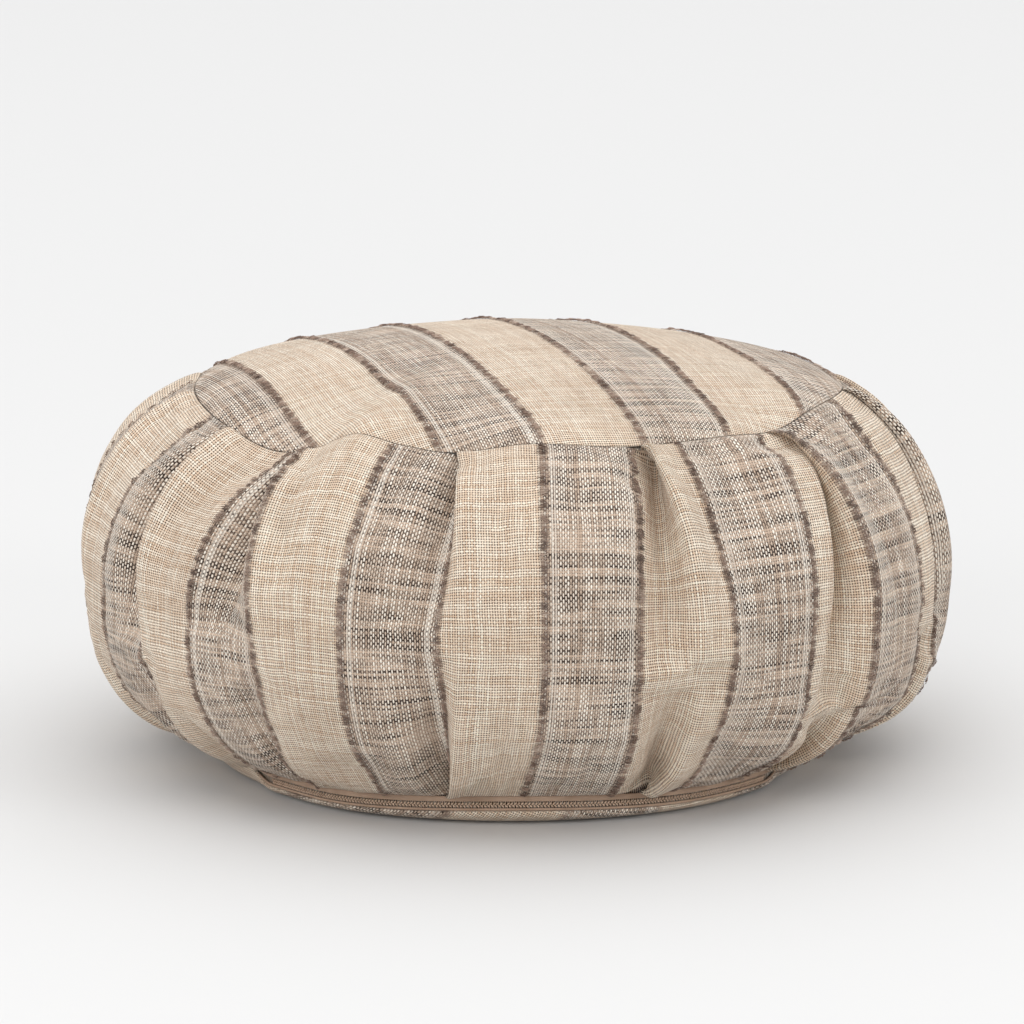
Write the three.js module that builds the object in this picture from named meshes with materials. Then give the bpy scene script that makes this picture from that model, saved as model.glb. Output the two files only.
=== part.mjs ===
// Zafu meditation cushion. A round filled cushion: a striped side band gathered in knife pleats into
// a crowned round top panel and a round bottom panel, with a coil zip let into the bottom seam in front.
// Millimetres, +Z up. The origin is the centre of the face it rests on, and the front is -Y.
// A direction is an angle in degrees round the cushion: 0 is the front, 90 is +X.

import * as THREE from "three";

// Driving dimensions
const BULGE_RADIUS = 210; // half the finished diameter, at the fullest part of the side
const REPEATS = 15; // stripe repeats in the side band, with one knife pleat to each
const REPEAT = 90; // one taupe and one cream stripe together
const BAND_HEIGHT = 206; // cut height of the side band between its two seams
const CROWN = 22; // rise of the top panel over its seam
const SEAM_ROLL = 4; // the part of that rise taken up close to the seam
const REST_RADIUS = 142; // flat round on which the cushion stands
const CLOTH = 2; // thickness of the round panels
const TAPE = 1; // thickness of the zip tapes
const GAP = 0.3; // air between neighbouring pieces
const PANEL_GAP = 0.6; // air between the filling and the large panels
const PANEL_EDGE = 0.5; // how far the top panel's edge stays inside the seam ring

const table = (names, rows) =>
  rows.map((row) => Object.fromEntries(names.split(" ").map((name, at) => [name, row[at]])));

// Where the cloth of the band lies: a stripe number (whole numbers start a taupe stripe) and the
// direction that it has at the base seam, at mid height and at the top seam
const ANCHORS = table("stripe base mid top", [
  [-3.0, -64, -67.7, -66],
  [-2.1, -46, -47.8, -44],
  [-1.0, -21, -21.7, -20],
  [0.0, 1.7, 4, 4.8],
  [1.2, 33, 33.6, 34],
  [2.3, 62, 62.4, 60],
  [3.2, 84, 85, 86],
  [4.2, 108, 108, 109],
  [5.2, 131.5, 131, 131],
  [6.2, 155, 155, 155.5],
  [7.2, 178.5, 178.5, 179],
  [8.1, 200, 200, 199.5],
  [9.1, 223, 223.5, 223],
  [10.1, 246.5, 247, 247.5],
  [11.1, 270, 270, 270.5],
]);

// Knife pleats, one between each two anchors: where the cloth first folds, the length that the fold
// hides, how far the fold reaches from its seam, how high it stands, and how far before it the cloth
// begins to sink
const TOP_PLEATS = table("stripe hidden reach rise sinks", [
  [-2.62, 32, 125, 1.4, 20],
  [-1.75, 36, 110, 1.2, 20],
  [-0.55, 25, 95, 0.8, 20],
  [0.66, 25, 115, 1.5, 22],
  [1.76, 42, 150, 1.15, 9],
  [2.90, 34, 140, 1.2, 9],
  [3.75, 22, 90, 1.1, 18],
  [4.65, 24, 110, 1.3, 22],
  [5.70, 20, 85, 1, 16],
  [6.75, 24, 110, 1.3, 22],
  [7.65, 20, 85, 1, 18],
  [8.60, 24, 105, 1.2, 20],
  [9.55, 22, 95, 1.3, 22],
  [10.60, 24, 110, 1.1, 18],
  [11.45, 26, 125, 1.6, 14],
]);
const BASE_PLEATS = table("stripe hidden reach rise sinks", [
  [-2.52, 18, 75, 0.8, 20],
  [-1.60, 12, 75, 0.8, 20],
  [-0.55, 25, 100, 0.9, 20],
  [0.75, 16, 80, 1.6, 20],
  [1.85, 20, 75, 1.1, 20],
  [2.80, 22, 90, 1.1, 20],
  [3.70, 22, 80, 0.9, 20],
  [4.70, 22, 90, 1.1, 20],
  [5.65, 20, 75, 0.9, 20],
  [6.70, 22, 90, 1.1, 20],
  [7.70, 20, 80, 0.9, 20],
  [8.55, 22, 80, 1, 20],
  [9.60, 22, 90, 1.1, 20],
  [10.55, 22, 80, 0.9, 20],
  [11.50, 22, 85, 1.1, 20],
]);

// The seam rings, uneven as the pleats pull them, and the height and fullness of the bulge
const TOP_RING = table("direction radius height", [
  [-90, 154.5, 179],
  [-75, 155, 178],
  [-60, 156, 174],
  [-45, 156, 168],
  [-36, 156, 172],
  [-27, 158, 182],
  [-19, 159, 179],
  [-10, 160, 176.5],
  [3, 160, 181],
  [19, 160, 178],
  [38, 160, 178],
  [50, 160, 176],
  [62, 160, 181],
  [80, 161, 181],
  [90, 161, 179],
  [128, 159, 177],
  [155, 158, 175],
  [180, 158, 177],
  [205, 158, 175],
  [240, 157, 178],
]);
const BULGE = table("direction height fullness", [
  [-90, 100, 1.25],
  [-50, 100, 1.2],
  [0, 98, 1],
  [50, 93, 1.3],
  [90, 84, 1.6],
  [135, 94, 1.25],
  [180, 100, 1.1],
  [225, 98, 1.2],
]);
const BASE_RING = table("direction radius height", [
  [-90, 152, 10],
  [-60, 153, 11.5],
  [-45, 156, 12.5],
  [-30, 159, 12.5],
  [0, 160, 15.5],
  [30, 159, 13],
  [45, 156, 12],
  [60, 153, 11],
  [90, 151, 10],
  [135, 154, 10],
  [180, 156, 11],
  [225, 154, 10],
]);
const BASE_TURN = -66; // how far the side has turned under where it meets the base seam, degrees
const TOP_TURN = 64; // and how far it has turned over at the top seam

// The zip, between two directions along the front of the base seam
const ZIP = { from: -46, to: 50, upperTape: 2.6, coil: 2.6, lowerTape: 1.1, recess: 1 };
const ZIP_DROP = ZIP.upperTape + ZIP.coil + ZIP.lowerTape + 3 * GAP;
const ZIP_END = 8; // degrees over which the bottom panel rises again past each end of the zip

// Steps of the faceted surfaces
const BAND_ROWS = [0, 0.02, 0.06, 0.12, 0.2, 0.3, 0.4, 0.5, 0.6, 0.7, 0.78, 0.85, 0.91, 0.95, 0.98, 1];
const BEFORE_CREASE = [0, 0.3, 0.55, 0.75, 0.9, 1];
const AFTER_CREASE = [0, 0.1, 0.25, 0.5, 0.75];
const CREASE_WIDTH = 0.4; // degrees taken by the step down a pleat's edge
const PANEL_COLUMNS = 108;
const CLOTH_SAMPLES = 90;

const CLOTH_COLOUR = 0xcabba9;
const TOP_COLOUR = 0xd2c6b8;
const TAPE_COLOUR = 0x8a7363;
const COIL_COLOUR = 0x7a6556;

const radians = THREE.MathUtils.degToRad;
const clamp = THREE.MathUtils.clamp;
const mix = THREE.MathUtils.lerp;
const smooth = (x) => THREE.MathUtils.smoothstep(x, 0, 1);

const place = (direction, radius, height) =>
  new THREE.Vector3(radius * Math.sin(radians(direction)), -radius * Math.cos(radians(direction)), height);

// A table's column at a direction: a smooth closed curve through its rows (Catmull and Rom's)
function around(ring, column, direction) {
  const rows = ring.length;
  const turned = THREE.MathUtils.euclideanModulo(direction - ring[0].direction, 360) + ring[0].direction;
  const at = ring.findLastIndex((row) => row.direction <= turned);
  const row = (step) => {
    const index = at + step;
    const lap = Math.floor(index / rows);
    const found = ring[index - lap * rows];
    return { direction: found.direction + 360 * lap, value: found[column] };
  };
  const [a, b, c, d] = [row(-1), row(0), row(1), row(2)];
  const span = c.direction - b.direction;
  const t = (turned - b.direction) / span;
  const leave = ((c.value - a.value) / (c.direction - a.direction)) * span;
  const arrive = ((d.value - b.value) / (d.direction - b.direction)) * span;
  return (
    (2 * t ** 3 - 3 * t ** 2 + 1) * b.value +
    (t ** 3 - 2 * t ** 2 + t) * leave +
    (3 * t ** 2 - 2 * t ** 3) * c.value +
    (t ** 3 - t ** 2) * arrive
  );
}

// The smooth side: an arc from the base seam (up = 0) over the bulge to the top seam (up = 1), with
// the way out of the cushion at that point
function side(direction, up) {
  const turn = radians(mix(BASE_TURN, TOP_TURN, up));
  const seam = turn > 0 ? TOP_RING : BASE_RING;
  const last = radians(turn > 0 ? TOP_TURN : BASE_TURN);
  const fullness = turn > 0 ? 1 : around(BULGE, "fullness", direction);
  const middle = around(BULGE, "height", direction);
  const inward = BULGE_RADIUS - around(seam, "radius", direction);
  const upward = (around(seam, "height", direction) - middle) / Math.sin(last);
  const share = (1 - Math.cos(turn)) / (1 - Math.cos(last));
  const across = inward / (1 - Math.cos(last));
  const out = new THREE.Vector2(upward * Math.cos(turn), across * Math.sin(turn)).normalize();
  return {
    radius: BULGE_RADIUS - inward * share ** fullness,
    height: middle + upward * Math.sin(turn),
    out,
  };
}

// How far one knife pleat has turned the cloth back on itself, as an angle, at a place on the cloth
function turnedBack(pleat, cloth, depth) {
  const start = pleat.stripe * REPEAT;
  const length = pleat.hidden / 2;
  const grip = (1 - clamp(depth / pleat.reach, 0, 1) ** 0.9) ** 1.1;
  const softness = 0.9 + 0.048 * depth;
  const inside = Math.tanh((cloth - start) / softness) - Math.tanh((cloth - start - length) / softness);
  return Math.acos(1 - 2 * grip) * 0.5 * inside;
}

// How much of a pleat's lift the cloth has given back: most of it before the pleat, as a hollow that
// deepens towards it, and the rest beyond the ridge
function givenBack(pleat, cloth, depth) {
  const start = pleat.stripe * REPEAT;
  const left = pleat.sinks + 0.07 * depth;
  const right = 13 + 0.1 * depth;
  return 0.74 * smooth((cloth - start + left) / left) + 0.26 * smooth((cloth - start - pleat.hidden / 2) / right);
}

// One length of the band between two anchors at one height: the direction of each sample of the cloth
// and how far it stands out. The cloth runs along, back under the pleat, and on again over it.
function clothLine(index, up) {
  const first = ANCHORS[index];
  const next = ANCHORS[(index + 1) % REPEATS];
  const lap = index + 1 === REPEATS;
  const start = first.stripe * REPEAT;
  const end = (next.stripe + (lap ? REPEATS : 0)) * REPEAT;
  const depthTop = (1 - up) * BAND_HEIGHT;
  const depthBase = up * BAND_HEIGHT;
  const pull = (depth) => clamp(1 - depth / 100, 0, 1) ** 1.8;
  const settled = (anchor, turn) =>
    anchor.mid + turn + (anchor.top - anchor.mid) * pull(depthTop) + (anchor.base - anchor.mid) * pull(depthBase);
  const top = TOP_PLEATS[index];
  const base = BASE_PLEATS[index];
  const step = (end - start) / CLOTH_SAMPLES;
  const line = [{ cloth: start, run: 0, topLift: 0, baseLift: 0 }];
  for (let sample = 0; sample < CLOTH_SAMPLES; sample++) {
    const cloth = start + (sample + 0.5) * step;
    const fromTop = turnedBack(top, cloth, depthTop);
    const fromBase = turnedBack(base, cloth, depthBase);
    line.push({
      cloth: cloth + step / 2,
      run: line[sample].run + Math.cos(fromTop + fromBase) * step,
      topLift: line[sample].topLift + Math.sin(fromTop) * top.rise * step,
      baseLift: line[sample].baseLift + Math.sin(fromBase) * base.rise * step,
    });
  }
  const whole = line[CLOTH_SAMPLES];
  const standing = (point) =>
    point.topLift - whole.topLift * givenBack(top, point.cloth, depthTop) +
    point.baseLift - whole.baseLift * givenBack(base, point.cloth, depthBase);
  const from = settled(first, 0);
  const to = settled(next, lap ? 360 : 0);
  const sewnFlat = smooth(Math.min(depthTop, depthBase) / 8);
  const crease = mix(base.stripe * REPEAT + base.hidden / 2, top.stripe * REPEAT + top.hidden / 2, smooth((up - 0.35) / 0.3));
  return {
    from,
    to,
    crease,
    samples: line.map((point) => ({
      cloth: point.cloth,
      direction: mix(from, to, point.run / whole.run),
      stand: standing(point) * sewnFlat,
    })),
  };
}

// The layer of cloth that shows at a direction is the last one to cross it
function outermost(samples, direction) {
  const at = samples.findLastIndex((point) => point.direction <= direction);
  const low = samples[clamp(at, 0, samples.length - 2)];
  const high = samples[clamp(at, 0, samples.length - 2) + 1];
  return mix(low.stand, high.stand, clamp((direction - low.direction) / (high.direction - low.direction), 0, 1));
}

// One row of the side band: its columns follow the pleats' creases from seam to seam
function bandRow(up) {
  return ANCHORS.flatMap((anchor, index) => {
    const { from, to, crease, samples } = clothLine(index, up);
    const edge = samples.find((point) => point.cloth >= crease).direction;
    const before = BEFORE_CREASE.map((share) => mix(from, edge - CREASE_WIDTH / 2, share));
    const after = AFTER_CREASE.map((share) => mix(edge + CREASE_WIDTH / 2, to, share));
    return [...before, ...after].map((direction) => {
      const { radius, height, out } = side(direction, up);
      const stand = outermost(samples, direction);
      return { direction, radius: radius + stand * out.x, height: height + stand * out.y };
    });
  });
}

// The crowned top of the panel, at a share of the way from its centre to its seam
function crown(direction, share) {
  const level = TOP_RING.reduce((sum, row) => sum + row.height, 0) / TOP_RING.length;
  const seam = around(TOP_RING, "height", direction);
  return mix(level, seam, share ** 3) + CROWN * (1 - share ** 2.1) + SEAM_ROLL * (1 - share ** 24);
}

// A point of the top panel or of what lies under it, sunk below the crown, less so at the very seam
function underCrown(direction, inset, sink, atSeam) {
  const seam = around(TOP_RING, "radius", direction);
  const share = Math.max(0, 1 - inset / seam);
  const settled = smooth(inset / 4);
  return { direction, radius: seam * share, height: crown(direction, share) - mix(atSeam, sink, settled) };
}

// How far the bottom panel's edge lies below the base seam: it makes room for the zip in front
function zipRoom(direction) {
  const turned = THREE.MathUtils.euclideanModulo(direction + 180, 360) - 180;
  const opening = smooth((turned - ZIP.from) / ZIP_END + 1.2);
  return opening * smooth((ZIP.to - turned) / ZIP_END + 1.2) * ZIP_DROP;
}

// The cushion's lower edge, a quarter of an ellipse from the flat round (turn = 0) up to the panel's
// edge (turn = 90 degrees), set in by a thickness
function lowerEdge(direction, turn, inset) {
  const radius = around(BASE_RING, "radius", direction) - 0.5 - inset - REST_RADIUS;
  const edge = around(BASE_RING, "height", direction) - zipRoom(direction) - GAP;
  return {
    direction,
    radius: REST_RADIUS + radius * Math.sin(radians(turn)),
    height: inset + (edge - inset) * (1 - Math.cos(radians(turn))),
  };
}

// A closed skin over rings of points, from a lower pole to an upper one
function skin(rings, lowPole, highPole) {
  const columns = rings[0].length;
  const points = [place(0, 0, lowPole), ...rings.flat().map((p) => place(p.direction, p.radius, p.height))];
  points.push(place(0, 0, highPole));
  const index = [];
  for (let column = 0; column < columns; column++) {
    const beside = (column + 1) % columns;
    index.push(0, 1 + beside, 1 + column);
    for (let ring = 0; ring < rings.length - 1; ring++) {
      const low = 1 + ring * columns;
      const high = low + columns;
      index.push(low + column, low + beside, high + beside);
      index.push(low + column, high + beside, high + column);
    }
    const last = 1 + (rings.length - 1) * columns;
    index.push(last + column, last + beside, points.length - 1);
  }
  return solid(points, index);
}

// A bar that follows the base seam, with the same section all along: a closed outline of
// points, each a radius and a height
function bar(from, to, sectionAt) {
  const steps = Math.round((to - from) / 2.5);
  const points = [];
  for (let step = 0; step <= steps; step++) {
    const direction = mix(from, to, step / steps);
    points.push(...sectionAt(direction).map(([radius, height]) => place(direction, radius, height)));
  }
  const corners = points.length / (steps + 1);
  const index = [];
  for (let corner = 0; corner < corners; corner++) {
    const next = (corner + 1) % corners;
    for (let step = 0; step < steps; step++) {
      const here = step * corners;
      const there = here + corners;
      index.push(here + corner, there + corner, there + next);
      index.push(here + corner, there + next, here + next);
    }
  }
  for (let corner = 1; corner < corners - 1; corner++) {
    const end = steps * corners;
    index.push(0, corner, corner + 1);
    index.push(end, end + corner + 1, end + corner);
  }
  return solid(points, index);
}

function solid(points, index) {
  const geometry = new THREE.BufferGeometry().setFromPoints(points);
  geometry.setIndex(index);
  geometry.computeVertexNormals();
  return geometry;
}

// The filled body with the pleated band on its side, stepped in under both panels
function sideBand() {
  const rows = BAND_ROWS.map(bandRow);
  const lowest = rows[0];
  const highest = rows[rows.length - 1];
  const inset = CLOTH + PANEL_GAP;
  const under = [0, 40, 70, 90].map((turn) => lowest.map((p) => lowerEdge(p.direction, turn, inset)));
  const ledge = lowest.map((p) => ({
    direction: p.direction,
    radius: lowerEdge(p.direction, 90, inset).radius,
    height: p.height,
  }));
  const sink = CLOTH + PANEL_GAP;
  const over = [0.05, 4, 12, 40, 80, 120].map((step) => highest.map((p) => underCrown(p.direction, step, sink, sink)));
  return skin([...under, ledge, ...rows, ...over], inset, underCrown(0, BULGE_RADIUS, sink, 0).height);
}

function topPanel() {
  const directions = Array.from({ length: PANEL_COLUMNS }, (_, column) => (column * 360) / PANEL_COLUMNS);
  const ring = (inset, sink, atSeam) => directions.map((direction) => underCrown(direction, inset, sink, atSeam));
  const below = [120, 80, 40, 12, 4, PANEL_EDGE].map((inset) => ring(inset, CLOTH, CLOTH - 0.4));
  const above = [PANEL_EDGE, 1.5, 3.5, 7, 14, 30, 60, 95, 130].map((inset) => ring(inset, 0, 0.2));
  const pole = (sink) => underCrown(0, BULGE_RADIUS, sink, 0).height;
  return skin([...below, ...above], pole(CLOTH), pole(0));
}

function bottomPanel() {
  const directions = Array.from({ length: PANEL_COLUMNS }, (_, column) => (column * 360) / PANEL_COLUMNS);
  const ring = (turn, inset) => directions.map((direction) => lowerEdge(direction, turn, inset));
  const outside = [0, 30, 50, 70, 90].map((turn) => ring(turn, 0));
  const inside = [90, 70, 40, 0].map((turn) => ring(turn, CLOTH));
  return skin([...outside, ...inside], 0, CLOTH);
}

// The three pieces of the zip hang one under the other in the gap below the band
const zipTop = (direction) => around(BASE_RING, "height", direction) - GAP;
const zipFace = (direction) => around(BASE_RING, "radius", direction) - ZIP.recess;

function tape(below, height) {
  return bar(ZIP.from, ZIP.to, (direction) => {
    const high = zipTop(direction) - below;
    const face = zipFace(direction);
    return [
      [face - TAPE, high - height],
      [face, high - height],
      [face, high],
      [face - TAPE, high],
    ];
  });
}

function zipCoil(below) {
  const bulge = 0.7;
  return bar(ZIP.from, ZIP.to, (direction) => {
    const high = zipTop(direction) - below;
    const face = zipFace(direction);
    return [
      [face - TAPE, high - ZIP.coil],
      [face + 0.2, high - ZIP.coil],
      [face + bulge, high - 0.72 * ZIP.coil],
      [face + bulge, high - 0.28 * ZIP.coil],
      [face + 0.2, high],
      [face - TAPE, high],
    ];
  });
}

const cloth = (color) => new THREE.MeshStandardMaterial({ color, roughness: 0.95, metalness: 0 });

const cushion = new THREE.Group();

function add(name, geometry, material) {
  const mesh = new THREE.Mesh(geometry, material);
  mesh.name = name;
  cushion.add(mesh);
}

add("side_band", sideBand(), cloth(CLOTH_COLOUR));
add("top_panel", topPanel(), cloth(TOP_COLOUR));
add("bottom_panel", bottomPanel(), cloth(CLOTH_COLOUR));
add("zip_tape_upper", tape(0, ZIP.upperTape), cloth(TAPE_COLOUR));
add("zip_coil", zipCoil(ZIP.upperTape + GAP), new THREE.MeshStandardMaterial({ color: COIL_COLOUR, roughness: 0.6 }));
add("zip_tape_lower", tape(ZIP.upperTape + ZIP.coil + 2 * GAP, ZIP.lowerTape), cloth(TAPE_COLOUR));

export default cushion;
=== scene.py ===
"""The look of a round zafu meditation cushion: striped slub cloth, knife pleats, fuzzy yarn and a coil zip.

Metres, +Z up, the front is -Y. A direction is an angle in degrees round the cushion: 0 is the front,
90 is +X. The tables are in millimetres and degrees, as a maker would write them.
"""

import bpy
import numpy as np
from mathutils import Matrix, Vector


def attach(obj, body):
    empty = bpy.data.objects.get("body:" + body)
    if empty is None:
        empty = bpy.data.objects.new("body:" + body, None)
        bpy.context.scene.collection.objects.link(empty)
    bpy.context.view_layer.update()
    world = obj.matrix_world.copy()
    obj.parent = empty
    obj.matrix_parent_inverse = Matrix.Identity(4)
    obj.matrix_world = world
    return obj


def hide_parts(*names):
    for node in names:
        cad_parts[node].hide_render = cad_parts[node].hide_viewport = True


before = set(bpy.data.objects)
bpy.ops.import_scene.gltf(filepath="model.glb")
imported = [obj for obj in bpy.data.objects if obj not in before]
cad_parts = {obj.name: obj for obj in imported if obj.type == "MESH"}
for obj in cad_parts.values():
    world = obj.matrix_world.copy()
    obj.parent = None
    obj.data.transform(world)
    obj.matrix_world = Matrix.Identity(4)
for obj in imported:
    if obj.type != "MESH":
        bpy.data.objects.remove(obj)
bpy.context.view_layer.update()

MM = 0.001


# Sizes of the cushion

BULGE_RADIUS = 0.210
REPEATS = 15  # stripe repeats in the side band, with one knife pleat to each
REPEAT = 0.090  # one taupe and one cream stripe together
TAUPE = 0.485  # the taupe stripe's share of a repeat, from its start
BAND_HEIGHT = 0.206  # the cloth's length from seam to seam
CROWN = 0.022
SEAM_ROLL = 0.004
REST_RADIUS = 0.142  # of the flat round under the cushion
PANEL_THICKNESS = 0.0016
PANEL_CLEAR = 0.0006  # the room between a panel and the filled body
SEAM_RADIUS = 0.160  # of both seams, about
# How far each round panel's stripes lean back to the left, and a taupe stripe's edge across them
TOP_LAY = (np.radians(17.5), 0.0134)
BOTTOM_LAY = (np.radians(28.8), 0.0393)
PANEL_STRETCH = 1.04  # how much the filling stretches the panels' cloth


def table(text):
    """A short table of words and numbers: its first line names the columns."""
    names, *rows = [line.split() for line in text.strip().splitlines()]
    return {name: np.array([float(row[at]) for row in rows]) for at, name in enumerate(names)}


# Where the cloth of the band lies: a stripe number, and its direction at the base seam, at mid
# height and at the top seam
ANCHORS = table("""
stripe  base   mid    top
-3.0   -64.0  -67.7  -66.0
-2.1   -46.0  -47.8  -44.0
-1.0   -21.0  -21.7  -20.0
 0.0     1.7    4.0    4.8
 1.2    33.0   33.6   34.0
 2.3    62.0   62.4   60.0
 3.2    84.0   85.0   86.0
 4.2   108.0  108.0  109.0
 5.2   131.5  131.0  131.0
 6.2   155.0  155.0  155.5
 7.2   178.5  178.5  179.0
 8.1   200.0  200.0  199.5
 9.1   223.0  223.5  223.0
10.1   246.5  247.0  247.5
11.1   270.0  270.0  270.5
""")

# The knife pleats: where the cloth folds, the length it hides, its reach from the seam, how high it
# stands, and how far before it the cloth begins to sink
TOP_PLEATS = table("""
stripe hidden reach rise sinks
-2.62   32    125   1.4   20
-1.75   36    110   1.2   20
-0.55   25     95   0.8   20
 0.66   25    115   1.5   22
 1.76   42    150   1.15   9
 2.90   34    140   1.2    9
 3.75   22     90   1.1   18
 4.65   24    110   1.3   22
 5.70   20     85   1.0   16
 6.75   24    110   1.3   22
 7.65   20     85   1.0   18
 8.60   24    105   1.2   20
 9.55   22     95   1.3   22
10.60   24    110   1.1   18
11.45   26    125   1.6   14
""")
BASE_PLEATS = table("""
stripe hidden reach rise sinks
-2.52   18     75   0.8   20
-1.60   12     75   0.8   20
-0.55   25    100   0.9   20
 0.75   16     80   1.6   20
 1.85   20     75   1.1   20
 2.80   22     90   1.1   20
 3.70   22     80   0.9   20
 4.70   22     90   1.1   20
 5.65   20     75   0.9   20
 6.70   22     90   1.1   20
 7.70   20     80   0.9   20
 8.55   22     80   1.0   20
 9.60   22     90   1.1   20
10.55   22     80   0.9   20
11.50   22     85   1.1   20
""")

# The seam rings, uneven as the pleats pull them, and the height and fullness of the bulge
TOP_RING = table("""
direction radius height
-90    154.5  179
-75    155    178
-60    156    174
-45    156    168
-36    156    172
-27    158    182
-19    159    179
-10    160    176.5
  3    160    181
 19    160    178
 38    160    178
 50    160    176
 62    160    181
 80    161    181
 90    161    179
128    159    177
155    158    175
180    158    177
205    158    175
240    157    178
""")
BULGE = table("""
direction height fullness
-90    100    1.25
-50    100    1.2
  0     98    1.0
 50     93    1.3
 90     84    1.6
135     94    1.25
180    100    1.1
225     98    1.2
""")
BASE_RING = table("""
direction radius height
-90    152    10
-60    153    11.5
-45    156    12.5
-30    159    12.5
  0    160    15.5
 30    159    13
 45    156    12
 60    153    11
 90    151    10
135    154    10
180    156    11
225    154    10
""")
BASE_TURN = np.radians(-66)  # how far the side has turned under at the base seam
TOP_TURN = np.radians(64)  # and how far it has turned over at the top seam
SEAM_HOLDS = 0.100  # how far from a seam the cloth's direction still follows it


def smooth(x):
    """The soft step 3x^2 - 2x^3, held at 0 below 0 and at 1 above 1."""
    x = np.clip(x, 0, 1)
    return x * x * (3 - 2 * x)


def unit(vectors):
    """Vectors made one long."""
    return vectors / (np.linalg.norm(vectors, axis=-1, keepdims=True) + 1e-12)


def cell_of(asked, listed):
    """Which step of a rising list each asked value lies in, and how far into it."""
    at = np.interp(asked, listed, np.arange(len(listed)))
    cell = np.clip(at.astype(int), 0, len(listed) - 2)
    return cell, at - cell


def bilinear(values, row, column, up, right):
    """A grid's values between the four points round each place: v00, v01, v10, v11 weighted by nearness."""
    near = values[row, column] * (1 - right) + values[row, column + 1] * right
    far = values[row + 1, column] * (1 - right) + values[row + 1, column + 1] * right
    return near * (1 - up) + far * up


def around(ring, column, direction):
    """A table's column at any direction: Catmull and Rom's closed smooth curve through its rows."""
    at = ring["direction"]
    xs = np.concatenate([at - 360, at, at + 360])
    ys = np.tile(ring[column], 3)
    slopes = np.empty_like(ys)
    slopes[1:-1] = (ys[2:] - ys[:-2]) / (xs[2:] - xs[:-2])
    slopes[[0, -1]] = 0
    turned = (np.asarray(direction) + 180) % 360 - 180
    low = np.clip(np.searchsorted(xs, turned) - 1, 0, len(xs) - 2)
    span = xs[low + 1] - xs[low]
    t = (turned - xs[low]) / span
    return (
        (2 * t**3 - 3 * t**2 + 1) * ys[low]
        + (t**3 - 2 * t**2 + t) * span * slopes[low]
        + (3 * t**2 - 2 * t**3) * ys[low + 1]
        + (t**3 - t**2) * span * slopes[low + 1]
    )


def place(direction, radius, height):
    """Points from directions in degrees, radii and heights: (r sin d, -r cos d, z)."""
    turn = np.radians(direction)
    return np.stack(np.broadcast_arrays(radius * np.sin(turn), -radius * np.cos(turn), height), -1)


# The side band

BAND_COLUMNS = 44  # of the cloth's grid, to a stripe repeat


def turned_back(pleats, index, cloth, depth):
    """How far a knife pleat turns the cloth back on itself, as an angle.

    It is arccos(1 - 2 grip) inside the hidden length and 0 outside, with soft ends that widen away
    from the seam. The grip falls from 1 at the seam to 0 at the pleat's reach.
    """
    start = pleats["stripe"][index] * REPEAT
    length = pleats["hidden"][index] * MM / 2
    share = np.clip(depth / (pleats["reach"][index] * MM), 0, 1)
    grip = (1 - share**0.9) ** 1.1
    softness = 0.0009 + 0.048 * depth
    inside = np.tanh((cloth - start) / softness) - np.tanh((cloth - start - length) / softness)
    return np.arccos(1 - 2 * grip) * 0.5 * inside


def given_back(pleats, index, cloth, depth):
    """How much of a pleat's lift the cloth has given back, from 0 to 1.

    It gives back 0.74 before the pleat, as a hollow that deepens towards it, and the rest beyond
    the ridge. Both are soft steps, longer further from the seam.
    """
    start = pleats["stripe"][index] * REPEAT
    ridge = start + pleats["hidden"][index] * MM / 2
    left, right = pleats["sinks"][index] * MM + 0.07 * depth, 0.013 + 0.10 * depth
    return 0.74 * smooth((cloth - start + left) / left) + 0.26 * smooth((cloth - ridge) / right)


def side(direction, up, stand):
    """Points of the side: an arc from the base seam (up 0) over the bulge to the top seam (up 1).

    Radius is the bulge's less a share (1 - cos turn) to the power of the fullness, height is
    sin turn, each scaled to end on its seam ring. stand moves a point out along the arc's normal.
    """
    turn = BASE_TURN + (TOP_TURN - BASE_TURN) * up
    over = turn > 0
    last = np.where(over, TOP_TURN, BASE_TURN)
    seam_radius, seam_height = (
        np.where(over, around(TOP_RING, column, direction), around(BASE_RING, column, direction))
        for column in ("radius", "height"))
    fullness = np.where(over, 1, around(BULGE, "fullness", direction))
    middle = around(BULGE, "height", direction) * MM
    inward = BULGE_RADIUS - seam_radius * MM
    upward = (seam_height * MM - middle) / np.sin(last)
    share = (1 - np.cos(turn)) / (1 - np.cos(last))
    out = upward * np.cos(turn)
    rise = inward / (1 - np.cos(last)) * np.sin(turn)
    length = np.hypot(out, rise)
    radius = BULGE_RADIUS - inward * share**fullness + stand * out / length
    height = middle + upward * np.sin(turn) + stand * rise / length
    return place(direction, radius, height)


def running(values, step):
    """The running integral of each row by the trapezium rule, from 0."""
    middles = (values[:, 1:] + values[:, :-1]) / 2 * step
    return np.concatenate([np.zeros((len(values), 1)), np.cumsum(middles, axis=1)], axis=1)


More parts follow.
